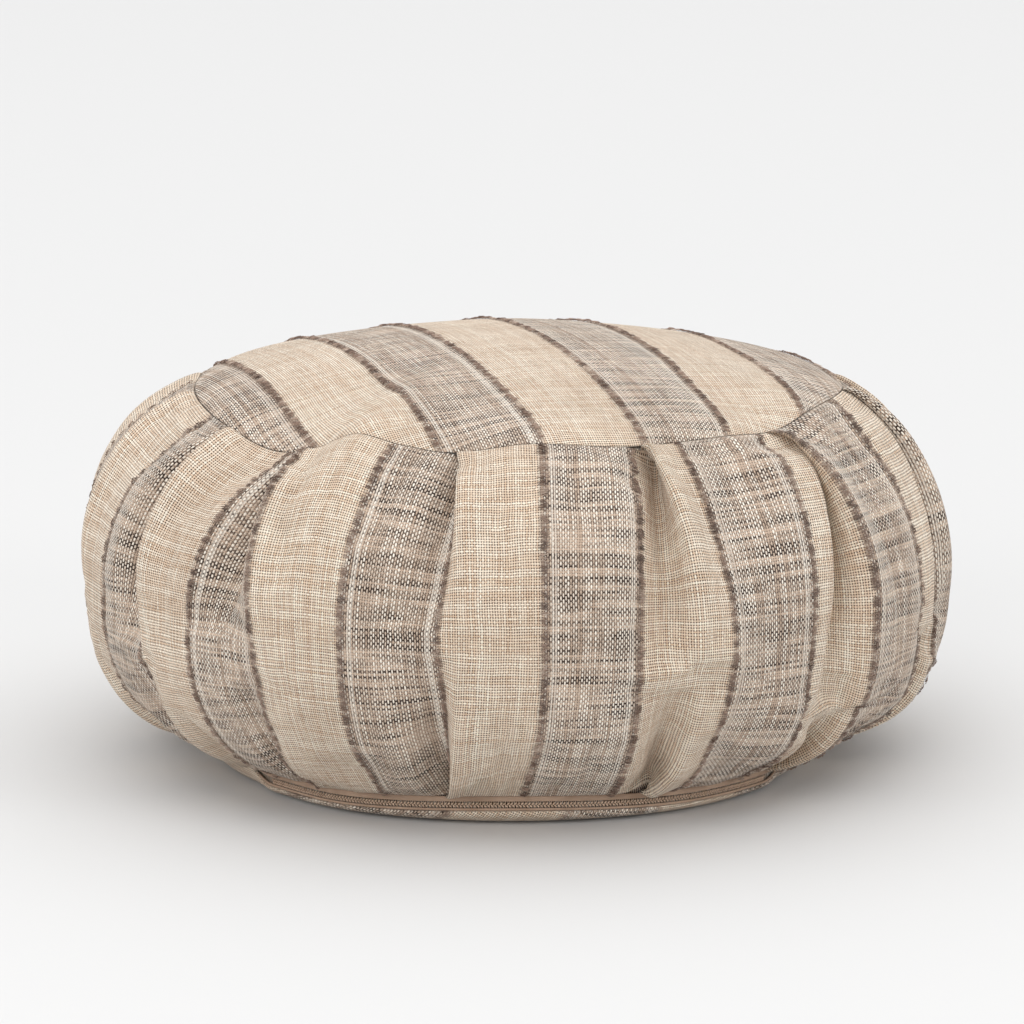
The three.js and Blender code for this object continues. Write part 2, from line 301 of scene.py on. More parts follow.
def band_surface(columns_a_stripe, rows):
    """Points of the pleated band, a grid of rows from base seam to top seam by columns of cloth.

    Between two anchors the cloth's heading is the sum of the angles that its two pleats turn it. Its
    run is the integral of the heading's cosine, stretched to end at the next anchor. How far it
    stands out is the integral of the sine, less a soft step that brings it level again.
    """
    columns = REPEATS * columns_a_stripe
    cloth = (ANCHORS["stripe"][0] + np.arange(columns + 1) / columns_a_stripe) * REPEAT
    up = rows[:, None]
    depth_top, depth_base = (1 - up) * BAND_HEIGHT, up * BAND_HEIGHT
    edges = np.append(ANCHORS["stripe"], ANCHORS["stripe"][0] + REPEATS) * REPEAT
    turns = {seam: np.append(ANCHORS[seam], ANCHORS[seam][0] + 360) for seam in ("base", "mid", "top")}
    anchored = turns["mid"]
    for seam, depth in (("top", depth_top), ("base", depth_base)):
        hold = np.clip(1 - depth / SEAM_HOLDS, 0, 1) ** 1.8
        anchored = anchored + (turns[seam] - turns["mid"]) * hold
    direction = np.zeros((len(rows), columns + 1))
    stand = np.zeros_like(direction)
    for index in range(REPEATS):
        fine = np.linspace(edges[index], edges[index + 1], 8 * columns_a_stripe)
        step = fine[1] - fine[0]
        from_top = turned_back(TOP_PLEATS, index, fine[None], depth_top)
        from_base = turned_back(BASE_PLEATS, index, fine[None], depth_base)
        run = running(np.cos(from_top + from_base), step)
        low, high = anchored[:, index : index + 1], anchored[:, index + 1 : index + 2]
        along = low + run / run[:, -1:] * (high - low)
        out = 0
        both = ((TOP_PLEATS, from_top, depth_top), (BASE_PLEATS, from_base, depth_base))
        for pleats, angle, depth in both:
            lift = running(np.sin(angle), step) * pleats["rise"][index]
            out = out + lift - lift[:, -1:] * given_back(pleats, index, fine[None], depth)
        inside = (cloth >= edges[index] - 1e-9) & (cloth <= edges[index + 1] + 1e-9)
        for row in range(len(rows)):
            direction[row, inside] = np.interp(cloth[inside], fine, along[row])
            stand[row, inside] = np.interp(cloth[inside], fine, out[row])
    return cloth, side(direction, up, stand), direction


# Mesh making

def make_mesh(name, points, faces, cloth_uv=None, smooth_faces=True):
    """A mesh object from points and lists of faces, with the cloth's own flat places as its UV map."""
    mesh = bpy.data.meshes.new(name)
    mesh.from_pydata(points.tolist(), [], faces)
    if cloth_uv is not None:
        layer = mesh.uv_layers.new(name="cloth")
        layer.uv.foreach_set("vector", np.asarray(cloth_uv, dtype=np.float32).ravel())
    if smooth_faces:
        mesh.polygons.foreach_set("use_smooth", np.ones(len(mesh.polygons), dtype=bool))
    mesh.update()
    piece = bpy.data.objects.new(name, mesh)
    bpy.context.scene.collection.objects.link(piece)
    return piece


def wrapped_quads(rows, columns):
    """The row and column of each cell of a grid whose last column joins its first, and its four corners."""
    row, column = np.meshgrid(np.arange(rows - 1), np.arange(columns), indexing="ij")
    row, column = row.ravel(), column.ravel()
    beside = (column + 1) % columns
    low, high = row * columns, (row + 1) * columns
    return row, column, np.stack([low + column, low + beside, high + beside, high + column], 1)


def wrapped_skin(name, points, uv, low_pole, high_pole, low_uv, high_uv):
    """A closed skin over a grid of points whose last column repeats its first, with a pole at each end.

    Quads join the rows, and a fan of triangles joins the first and the last row to its pole.
    """
    rows, columns = points.shape[0], points.shape[1] - 1
    body = points[:, :-1].reshape(-1, 3)
    every = np.concatenate([body, low_pole[None], high_pole[None]])
    row, column, quads = wrapped_quads(rows, columns)
    corners = ((0, 0), (0, 1), (1, 1), (1, 0))
    quad_uv = np.stack([uv[row + up, column + right] for up, right in corners], 1)
    at = np.arange(columns)
    after = (at + 1) % columns
    low = np.stack([np.full(columns, rows * columns), after, at], 1)
    low_fan = np.stack([np.broadcast_to(low_uv, (columns, 2)), uv[0, at + 1], uv[0, at]], 1)
    last = (rows - 1) * columns
    high = np.stack([last + at, last + after, np.full(columns, rows * columns + 1)], 1)
    high_fan = np.stack([uv[-1, at], uv[-1, at + 1], np.broadcast_to(high_uv, (columns, 2))], 1)
    faces = quads.tolist() + low.tolist() + high.tolist()
    uvs = np.concatenate([part.reshape(-1, 2) for part in (quad_uv, low_fan, high_fan)])
    return make_mesh(name, every, faces, uvs)


# Cloth simulation of the band

SETTLE_COLUMNS, SETTLE_ROWS = 24, 46  # columns to a stripe repeat, and rows, of the simulated cloth
SETTLE_FRAMES = 16
SPARE_CLOTH = 0.035  # how much longer the cut cloth is than the room that the seams leave it
SETTLE_MOST = 0.005  # the furthest that a point of the cloth may move


def settled_move(points):
    """How a closed tube of cloth moves when filling presses it out, as a grid of moves.

    It is sewn at its first and last row. Its springs rest a little longer than the points lie apart,
    so it has to buckle. The mean of each row's move out and up is taken off again.
    """
    rows, columns = points.shape[:2]
    quads = wrapped_quads(rows, columns)[2]
    piece = make_mesh("settling_cloth", points.reshape(-1, 3), quads.tolist())
    sewn = piece.vertex_groups.new(name="sewn")
    sewn.add([*range(columns), *range((rows - 1) * columns, rows * columns)], 1.0, "REPLACE")
    cloth = piece.modifiers.new("cloth", "CLOTH")
    settings = cloth.settings
    settings.quality = 6
    settings.mass = 0.02
    settings.tension_stiffness = settings.compression_stiffness = 40
    settings.shear_stiffness = 8
    settings.bending_stiffness = 0.4
    settings.tension_damping = settings.compression_damping = 20
    settings.use_pressure = True
    settings.uniform_pressure_force = 5
    settings.shrink_min = -SPARE_CLOTH
    settings.vertex_group_mass = "sewn"
    settings.effector_weights.gravity = 0
    cloth.point_cache.frame_start, cloth.point_cache.frame_end = 1, SETTLE_FRAMES
    for number in range(1, SETTLE_FRAMES + 1):
        bpy.context.scene.frame_set(number)
    settled = piece.evaluated_get(bpy.context.evaluated_depsgraph_get()).to_mesh()
    after = np.empty(rows * columns * 3)
    settled.vertices.foreach_get("co", after)
    bpy.context.scene.frame_set(1)
    bpy.data.objects.remove(piece)
    move = after.reshape(rows, columns, 3) - points
    outward = points[..., :2] / np.linalg.norm(points[..., :2], axis=-1, keepdims=True)
    out = (move[..., :2] * outward).sum(-1).mean(1)
    move[..., :2] -= outward * out[:, None, None]
    move[..., 2] -= move[..., 2].mean(1, keepdims=True)
    far = np.linalg.norm(move, axis=-1, keepdims=True)
    return move * SETTLE_MOST * np.tanh(far / SETTLE_MOST) / np.maximum(far, 1e-9)


def settled_band(points, cloth, rows):
    """The band's points and the simulated cloth's moves, bilinear between the coarse grid's points."""
    coarse_rows = np.linspace(0, 1, SETTLE_ROWS)
    coarse_cloth, coarse, _ = band_surface(SETTLE_COLUMNS, coarse_rows)
    move = settled_move(coarse[:, :-1])
    move = np.concatenate([move, move[:, :1]], axis=1)
    left, right = cell_of(cloth, coarse_cloth)
    low, up = cell_of(rows, coarse_rows)
    return points + bilinear(move, low[:, None], left[None], up[:, None, None], right[None, :, None])


# The round panels

def crown_height(direction, share):
    """Height of the top panel: its seam's unevenness fades as share cubed, the crown is 1 - share^2.1,
    and a roll close to the seam is 1 - share^24."""
    level = TOP_RING["height"].mean()
    seam = around(TOP_RING, "height", direction)
    uneven = (level + (seam - level) * share**3) * MM
    return uneven + CROWN * (1 - share**2.1) + SEAM_ROLL * (1 - share**24)


def under_crown(direction, inset, sink, at_seam):
    """Points of the top panel or of what lies under it: set in from the seam ring, and sunk below the
    crown by at_seam at the seam and by sink from 4 mm in."""
    seam = around(TOP_RING, "radius", direction) * MM
    share = np.maximum(0, 1 - inset / seam)
    sunk = at_seam + (sink - at_seam) * smooth(inset / 0.004)
    return place(direction, seam * share, crown_height(direction, share) - sunk)


def lower_edge(direction, turn, inset):
    """Points of the cushion's lower edge: a quarter of an ellipse from the flat round (turn 0) up to the
    bottom panel's edge (turn 90 degrees), set in by a thickness."""
    radius = around(BASE_RING, "radius", direction) * MM - 0.0005 - inset - REST_RADIUS
    edge = around(BASE_RING, "height", direction) * MM - zip_room(direction) - 0.0003
    bend = np.radians(turn)
    height = inset + (edge - inset) * (1 - np.cos(bend))
    return place(direction, REST_RADIUS + radius * np.sin(bend), height)


ZIP_FROM, ZIP_TO = -46, 50  # directions of the zip's ends
ZIP_END = 8  # degrees over which its room opens
ZIP_DROP = 0.0072


def zip_room(direction):
    """How far the bottom panel's edge lies below the base seam: the zip's height, with a soft step at
    each end."""
    turned = (direction + 180) % 360 - 180
    opening = smooth((turned - ZIP_FROM) / ZIP_END + 1.2)
    return opening * smooth((ZIP_TO - turned) / ZIP_END + 1.2) * ZIP_DROP


def panel_cloth(points, lay):
    """The flat place of a panel's points on the striped cloth: across the stripes and along them."""
    turn, start = lay
    across = points[..., 0] * np.cos(turn) + points[..., 1] * np.sin(turn)
    along = points[..., 1] * np.cos(turn) - points[..., 0] * np.sin(turn)
    return np.stack([across - start, along], -1) / PANEL_STRETCH


def flat_lengths(rings):
    """The length of cloth from a round panel's centre to each point of its rings, listed centre first."""
    first = np.hypot(rings[0, :, 0], rings[0, :, 1])
    steps = np.linalg.norm(np.diff(rings, axis=0), axis=-1)
    return np.concatenate([first[None], first + np.cumsum(steps, axis=0)])


def flattened(rings, lay):
    """A panel's rings laid flat: each point keeps its direction at its length of cloth from the centre."""
    planar = np.hypot(rings[..., 0], rings[..., 1])
    return panel_cloth(rings[..., :2] * (flat_lengths(rings) / planar)[..., None], lay)


def make_filled_band():
    """The filled body: the pleated band with a stepped-in closing skin under both panels."""
    rows = np.concatenate([[0, 0.006, 0.014], np.linspace(0.024, 0.976, 76), [0.986, 0.994, 1]])
    cloth, points, direction = band_surface(BAND_COLUMNS, rows)
    points = settled_band(points, cloth, rows)
    uv = np.stack(np.broadcast_arrays(cloth[None], rows[:, None] * BAND_HEIGHT), -1)
    inset = PANEL_THICKNESS + PANEL_CLEAR
    at = direction[0]
    below = [lower_edge(at, turn, inset + 0.0004) for turn in (0, 45, 90)]
    ledge = below[-1].copy()
    ledge[:, 2] = points[0, :, 2]
    at = direction[-1]
    above = [under_crown(at, step, inset, 0.0021) for step in (0.0001, 0.004, 0.012, 0.04, 0.08, 0.12)]
    grid = np.concatenate([np.stack([*below, ledge]), points, np.stack(above)])
    extra_low = uv[:1].repeat(4, 0)
    extra_high = uv[-1:].repeat(6, 0)
    grid_uv = np.concatenate([extra_low, uv, extra_high])
    low = np.array([0, 0, inset + 0.0004])
    high = under_crown(np.array(0.0), 1, inset, 0)
    piece = wrapped_skin("pleated_band", grid, grid_uv, low, high, uv[0, 0], uv[-1, 0])
    return piece, cloth, rows, points


def make_top_panel():
    """The crowned round and its underside, and its upper rings from the centre out."""
    direction = np.linspace(0, 360, 361)
    by_seam = [0.0003, 0.0008, 0.0015, 0.0025, 0.004, 0.006, 0.009]
    insets = np.concatenate([by_seam, np.linspace(0.013, 0.152, 44)])
    above = np.stack([under_crown(direction, inset, 0, 0.0002) for inset in insets[::-1]])
    below = np.stack([under_crown(direction, inset, PANEL_THICKNESS, 0.0013) for inset in insets[::-3]])
    centre = under_crown(np.array(0.0), 1, 0, 0)
    under = centre - [0, 0, PANEL_THICKNESS]
    grid = np.concatenate([below, above[::-1]])
    uv = np.concatenate([flattened(below, TOP_LAY), flattened(above, TOP_LAY)[::-1]])
    poles = panel_cloth(under, TOP_LAY), panel_cloth(centre, TOP_LAY)
    piece = wrapped_skin("top_round", grid, uv, under, centre, *poles)
    return piece, above


def make_bottom_panel():
    """The flat round with its turned-up edge, and its outer rings from the centre out."""
    direction = np.linspace(0, 360, 361)
    turns = (0, 8, 16, 24, 32, 40, 50, 60, 70, 80, 90)
    shares = (0.3, 0.6, 0.85)
    flat = [place(direction, np.full_like(direction, REST_RADIUS * share), 0.0) for share in shares]
    outside = np.stack([*flat, *[lower_edge(direction, turn, 0) for turn in turns]])
    lid = [points + [0, 0, PANEL_THICKNESS] for points in flat]
    turned_up = [lower_edge(direction, turn, PANEL_THICKNESS) for turn in (*turns[::2], 90)]
    inside = np.stack([*lid, *turned_up])
    low, high = np.zeros(3), np.array([0, 0, PANEL_THICKNESS])
    grid = np.concatenate([outside, inside[::-1]])
    uv = np.concatenate([flattened(outside, BOTTOM_LAY), flattened(inside, BOTTOM_LAY)[::-1]])
    poles = panel_cloth(low, BOTTOM_LAY), panel_cloth(high, BOTTOM_LAY)
    piece = wrapped_skin("bottom_round", grid, uv, low, high, *poles)
    return piece, outside


# Fuzzy yarn: short fibres lying across the line where two stripes meet

class Surface:
    """A grid of points that can be asked for a point and its outward normal anywhere between them."""

    def __init__(self, grid, across, along):
        self.grid, self.across, self.along = grid, across, along
        self.normal = unit(np.cross(np.gradient(grid, axis=1), np.gradient(grid, axis=0)))

    def at(self, across, along):
        """Bilinear between the four grid points round each asked place."""
        left, right = cell_of(across, self.across)
        low, up = cell_of(along, self.along)
        where = low, left, up[..., None], right[..., None]
        return bilinear(self.grid, *where), unit(bilinear(self.normal, *where))


FIBRES_A_METRE = 2500
FIBRE_HALF = 0.0027
FIBRE_THICK = 0.0002


def fibre_lines(rng, across, start, length):
    """Fibres along one yarn: the place of each on the cloth, its lean, half length, height and tint.

    The yarn is tied down every 4 to 8 mm. Between two ties it is a puff, fullest in its middle and
    with a tint of its own, and at a tie its fibres are few, pale and straight.
    """
    ties = [0.0]
    while ties[-1] < length:
        ties.append(ties[-1] + rng.uniform(0.004, 0.008))
    ties = np.array(ties)
    sizes, tints = rng.uniform(0.45, 1.15, len(ties)), rng.beta(1.0, 1.8, len(ties))
    count = int(length * FIBRES_A_METRE)
    along = (np.arange(count) + rng.uniform(0, 1, count)) / FIBRES_A_METRE
    puff = np.clip(np.searchsorted(ties, along) - 1, 0, len(ties) - 2)
    share = (along - ties[puff]) / (ties[puff + 1] - ties[puff])
    full = np.clip(sizes[puff] * np.clip(np.sin(np.pi * share), 0, 1) ** 0.8, 0, 1.1)
    keep = rng.uniform(0, 1, count) < full * 1.2
    along, puff, full = along[keep], puff[keep], full[keep]
    count = len(along)
    tied = np.clip(1 - full / 0.55, 0, 1)
    return np.stack([
        across + rng.normal(0, 0.0004, count),
        start + along,
        rng.normal(0, 0.42, count) * (1 - 0.8 * tied),
        FIBRE_HALF * (0.55 + 0.45 * full) * rng.uniform(0.6, 1.15, count),
        (0.0002 + 0.0011 * full) * rng.uniform(0.6, 1.3, count),
        np.clip(tints[puff] * 0.6 + rng.uniform(0, 0.25, count) + 0.5 * tied, 0, 1),
    ], 1)


def make_yarn(name, fibres, surface):
    """Spindles of three sides: two tips and two rings, on an arch over the cloth, tinted one by one.

    Along a fibre t runs from -1 to 1. It stands h (1 - t^2) over the cloth, plus half its thickness.
    """
    across, along, lean, half, height, tint = fibres.T
    stations = np.array([-1, -0.4, 0.4, 1])
    centres, normals = [], []
    for t in stations:
        point, normal = surface.at(across + t * half * np.cos(lean), along + t * half * np.sin(lean))
        centres.append(point + normal * (height * (1 - t * t) + 0.0001)[:, None])
        normals.append(normal)
    centres, normals = np.stack(centres, 1), np.stack(normals, 1)
    way = unit(centres[:, 3] - centres[:, 0])
    count = len(fibres)
    points = np.empty((count, 8, 3))
    points[:, 0], points[:, 7] = centres[:, 0], centres[:, 3]
    for ring, station in enumerate((1, 2)):
        normal = normals[:, station]
        beside = np.cross(way, normal)
        for corner in range(3):
            angle = 2 * np.pi * corner / 3 + np.pi / 2
            points[:, 1 + 3 * ring + corner] = centres[:, station] + FIBRE_THICK * (
                normal * np.sin(angle) + beside * np.cos(angle))
    one = []
    for corner in range(3):
        after = (corner + 1) % 3
        one.append((0, 1 + after, 1 + corner))
        one.append((1 + corner, 1 + after, 4 + after))
        one.append((1 + corner, 4 + after, 4 + corner))
        one.append((7, 4 + corner, 4 + after))
    faces = (np.array(one)[None] + (np.arange(count) * 8)[:, None, None]).reshape(-1, 3)
    piece = make_mesh(name, points.reshape(-1, 3), faces.tolist())
    tints = piece.data.attributes.new("tint", "FLOAT", "POINT")
    tints.data.foreach_set("value", tint.repeat(8).astype(np.float32))
    return piece


def band_fibres(rng):
    """Fibres along both edges of every taupe stripe of the band, from seam to seam."""
    lines = []
    for repeat in range(REPEATS):
        for edge in (0, TAUPE):
            across = (ANCHORS["stripe"][0] + repeat + edge) * REPEAT
            lines.append(fibre_lines(rng, across, 0.001, BAND_HEIGHT - 0.002))
    return np.concatenate(lines)


def panel_fibres(rng, lay, radius, inner=0.0):
    """Fibres along both edges of every taupe stripe of a round panel, between two flat radii."""
    lines = []
    for repeat in range(-3, 3):
        for edge in (0, TAUPE):
            across = (repeat + edge) * REPEAT
            from_centre = across * PANEL_STRETCH + lay[1]
            reach = radius**2 - from_centre**2
            if reach > 0:
                half = np.sqrt(reach) / PANEL_STRETCH
                lines.append(fibre_lines(rng, across, -half, 2 * half))
    fibres = np.concatenate(lines)
    apart = np.hypot(fibres[:, 0] * PANEL_STRETCH + lay[1], fibres[:, 1] * PANEL_STRETCH)
    return fibres[apart > inner]


class PanelSurface:
    """A round panel's outer face, its rings listed centre first, asked by the flat place on its cloth."""

    def __init__(self, rings, lay):
        self.rings, self.lay = rings, lay
        self.lengths = flat_lengths(rings)
        self.normal = unit(np.cross(np.gradient(rings, axis=0), np.gradient(rings, axis=1)))

    def at(self, across, along):
        """Bilinear between the columns beside the asked direction and the rings round its length."""
        turn, start = self.lay
        wide, high = across * PANEL_STRETCH + start, along * PANEL_STRETCH
        x = wide * np.cos(turn) - high * np.sin(turn)
        y = wide * np.sin(turn) + high * np.cos(turn)
        column = np.degrees(np.arctan2(x, -y)) % 360
        left = np.minimum(column.astype(int), self.rings.shape[1] - 2)
        part = column - left
        lengths = self.lengths[:, left] * (1 - part) + self.lengths[:, left + 1] * part
        asked = np.hypot(x, y)
        ring = np.clip((lengths <= asked).sum(0) - 1, 0, len(lengths) - 2)
        each = np.arange(len(asked))
        inner, outer = lengths[ring, each], lengths[ring + 1, each]
        share = np.clip((asked - inner) / (outer - inner), 0, 1)
        where = ring, left, share[:, None], part[:, None]
        return bilinear(self.rings, *where), unit(bilinear(self.normal, *where))


# Shader helpers

class Graph:
    """Adds nodes to a tree and joins them. A value may be a number, a tuple or another node's socket."""

    def __init__(self, tree):
        self.tree = tree

    def node(self, kind, inputs=(), **settings):
        made = self.tree.nodes.new(kind)
        for name, value in settings.items():
            setattr(made, name, value)
        for name, value in dict(inputs).items():
            socket = made.inputs[name]
            if isinstance(value, bpy.types.NodeSocket):
                self.join(value, socket)
            else:
                socket.default_value = value
        return made

    def join(self, value, socket):
        self.tree.links.new(value, socket)

    def math(self, operation, *values):
        return self.node("ShaderNodeMath", enumerate(values), operation=operation).outputs[0]

    def vector(self, x=0.0, y=0.0, z=0.0):
        return self.node("ShaderNodeCombineXYZ", {"X": x, "Y": y, "Z": z}).outputs[0]

    def noise(self, vector, scale, detail=2.0, roughness=0.5):
        inputs = {"Vector": vector, "Scale": scale, "Detail": detail, "Roughness": roughness}
        return self.node("ShaderNodeTexNoise", inputs, noise_dimensions="3D").outputs["Fac"]

    def uneven(self, place, across, along, layer, *detail):
        """Noise from a flat place, stretched by its own scale each way. A layer is a pattern of its own."""
        wide = self.math("MULTIPLY", place[0], across)
        return self.noise(self.vector(wide, self.math("MULTIPLY", place[1], along), layer), 1.0, *detail)

    def random(self, vector):
        made = self.node("ShaderNodeTexWhiteNoise", {"Vector": vector}, noise_dimensions="3D")
        return made.outputs["Value"]

    def between(self, value, low, high, to_low=0.0, to_high=1.0):
        inputs = {"Value": value, "From Min": low, "From Max": high}
        inputs |= {"To Min": to_low, "To Max": to_high}
        return self.node("ShaderNodeMapRange", inputs, clamp=True).outputs["Result"]

    def bump(self, height, strength, distance, shader):
        inputs = {"Height": height, "Strength": strength, "Distance": distance}
        self.join(self.node("ShaderNodeBump", inputs).outputs["Normal"], shader.inputs["Normal"])

    def mix(self, share, first, second, blend="MIX"):
        made = self.tree.nodes.new("ShaderNodeMix")
        made.data_type = "RGBA"
        made.blend_type = blend
        for at, value in ((0, share), (6, first), (7, second)):
            if isinstance(value, bpy.types.NodeSocket):
                self.join(value, made.inputs[at])
            else:
                made.inputs[at].default_value = value
        return made.outputs[2]


def new_group(name, inputs, outputs):
    """An empty shader group: inputs are (name, kind, value), outputs are (name, kind)."""
    group = bpy.data.node_groups.new(name, "ShaderNodeTree")
    for label, kind, value in inputs:
        socket = group.interface.new_socket(label, in_out="INPUT", socket_type=kind)
        if value is not None:
            socket.default_value = value
    for label, kind in outputs:
        group.interface.new_socket(label, in_out="OUTPUT", socket_type=kind)
    graph = Graph(group)
    return group, graph, graph.node("NodeGroupInput").outputs, graph.node("NodeGroupOutput").inputs


FLOAT, VECTOR = "NodeSocketFloat", "NodeSocketVector"
THREAD_PITCH = 0.00128  # between weft threads, and less between warp threads by this share:
WARP_CLOSER = 0.85
TAPE_PITCH = 0.00055  # between the zip tape's threads


def woven_group():
    """A plain weave from flat places on the cloth in metres.

    Threads are counted by the floor of the place over the pitch. A warp thread's height is a cosine
    along it, turned over at every other thread, plus the round of its section, and a weft thread's
    is the opposite. The higher one shows. Where neither reaches there is a gap. The gap mask also
    rises down the low sides of the threads, as painted shade between them.
    """
    group, g, given, out = new_group(
        "Woven threads",
        [("Place", VECTOR, None), ("Pitch", FLOAT, THREAD_PITCH), ("Closer", FLOAT, 1.0),
         ("Thickness", FLOAT, 0.35), ("Unevenness", FLOAT, 0.09)],
        [("Height", FLOAT), ("Warp shows", FLOAT), ("Gap and thread shade", FLOAT), ("Warp tint", FLOAT),
         ("Weft tint", FLOAT)],
    )
    apart = g.node("ShaderNodeSeparateXYZ", {"Vector": given["Place"]}).outputs
    wander = g.math("SUBTRACT", g.uneven(apart, 60.0, 60.0, 3.0), 0.5)
    warp_pitch = g.math("MULTIPLY", given["Pitch"], given["Closer"])
    x = g.math("ADD", g.math("DIVIDE", apart[0], warp_pitch), wander)
    y = g.math("ADD", g.math("DIVIDE", apart[1], given["Pitch"]), g.math("MULTIPLY", wander, -0.8))
    warp, weft = g.math("FLOOR", x), g.math("FLOOR", y)
    in_x = g.math("SUBTRACT", g.math("FRACT", x), 0.5)
    in_y = g.math("SUBTRACT", g.math("FRACT", y), 0.5)
    warp_slub = g.uneven((warp, y), 7.31, 0.09, 1.0, 3.0)
    weft_slub = g.uneven((x, weft), 0.09, 5.17, 9.0, 3.0)

    def width(slub):
        most = g.math("MULTIPLY", given["Unevenness"], 4.0)
        return g.math("ADD", given["Thickness"], g.math("MULTIPLY", g.math("SUBTRACT", slub, 0.5), most))

    def thread(offset, along, count, slub, sign):
        phase = g.math("ADD", g.math("SUBTRACT", along, 0.5), count)
        wave = g.math("MULTIPLY", g.math("COSINE", g.math("MULTIPLY", phase, np.pi)), 0.30 * sign)
        share = g.math("DIVIDE", offset, width(slub))
        left = g.math("SUBTRACT", 1.0, g.math("MULTIPLY", share, share))
        bulk = g.math("SQRT", g.math("MAXIMUM", left, 0.0))
        there = g.math("GREATER_THAN", left, 0.0)
        return g.math("MULTIPLY", g.math("ADD", g.math("ADD", wave, bulk), 0.4), there)

    warp_height = thread(in_x, y, warp, warp_slub, 1.0)
    weft_height = thread(in_y, x, weft, weft_slub, -1.0)
    highest = g.math("MAXIMUM", warp_height, weft_height)
    g.join(highest, out["Height"])
    g.join(g.math("GREATER_THAN", warp_height, weft_height), out["Warp shows"])
    # one mask for the gaps between threads and for painted shade down the threads' low sides
    g.join(g.between(highest, 1.5, 0.6), out["Gap and thread shade"])
    own_warp, own_weft = g.random(g.vector(warp, 3.0, 1.0)), g.random(g.vector(5.0, weft, 2.0))
    for name, own, slub in (("Warp tint", own_warp, warp_slub), ("Weft tint", own_weft, weft_slub)):
        tint = g.math("ADD", g.math("MULTIPLY", own, 0.4), g.math("MULTIPLY", slub, 0.6))
        g.join(tint, out[name])
    return group


def stripe_group():
    """Masks of the striped cloth from flat places in metres: the taupe stripe, the fuzzy yarn's line at
    its two edges, and two thin pale threads a little way inside it."""
    group, g, given, out = new_group(
        "Stripe masks",
        [("Place", VECTOR, None)],
        [("Taupe", FLOAT), ("Yarn line", FLOAT), ("Pale thread", FLOAT)],
    )
    apart = g.node("ShaderNodeSeparateXYZ", {"Vector": given["Place"]}).outputs
    share = g.math("FRACT", g.math("ADD", g.math("DIVIDE", apart[0], REPEAT), 100.0))
    middle = TAUPE / 2
    from_middle = g.math("ABSOLUTE", g.math("SUBTRACT", share, middle))
    g.join(g.math("LESS_THAN", from_middle, middle), out["Taupe"])
    to_end = g.math("MINIMUM", share, g.math("SUBTRACT", 1.0, share))
    edge = g.math("MINIMUM", g.math("ABSOLUTE", g.math("SUBTRACT", from_middle, middle)), to_end)
    metres = g.math("MULTIPLY", edge, REPEAT)
    g.join(g.between(metres, 0.0010, 0.0021, 1.0, 0.0), out["Yarn line"])
    inside = g.math("MULTIPLY", g.math("SUBTRACT", middle, from_middle), REPEAT)
    first = g.math("LESS_THAN", g.math("ABSOLUTE", g.math("SUBTRACT", inside, 0.0036)), 0.0004)
    second = g.math("LESS_THAN", g.math("ABSOLUTE", g.math("SUBTRACT", inside, 0.0050)), 0.0004)
    g.join(g.math("MAXIMUM", first, second), out["Pale thread"])
    return group


def rgb(red, green, blue):
    """A colour given as the 0 to 255 numbers of a screen, made linear for the shader."""
    share = np.array([red, green, blue]) / 255
    linear = np.where(share <= 0.04045, share / 12.92, ((share + 0.055) / 1.055) ** 2.4)
    return (*linear.tolist(), 1.0)


def fresh_material(name, roughness, sheen=0.0):
    """A new material with only its Principled BSDF and output, and the graph to add to."""
    material = bpy.data.materials.new(name)
    material.use_nodes = True
    shader = material.node_tree.nodes["Principled BSDF"]
    shader.inputs["Roughness"].default_value = roughness
    shader.inputs["Specular IOR Level"].default_value = 0.25
    shader.inputs["Sheen Weight"].default_value = sheen
    shader.inputs["Sheen Roughness"].default_value = 0.5
    return material, Graph(material.node_tree), shader


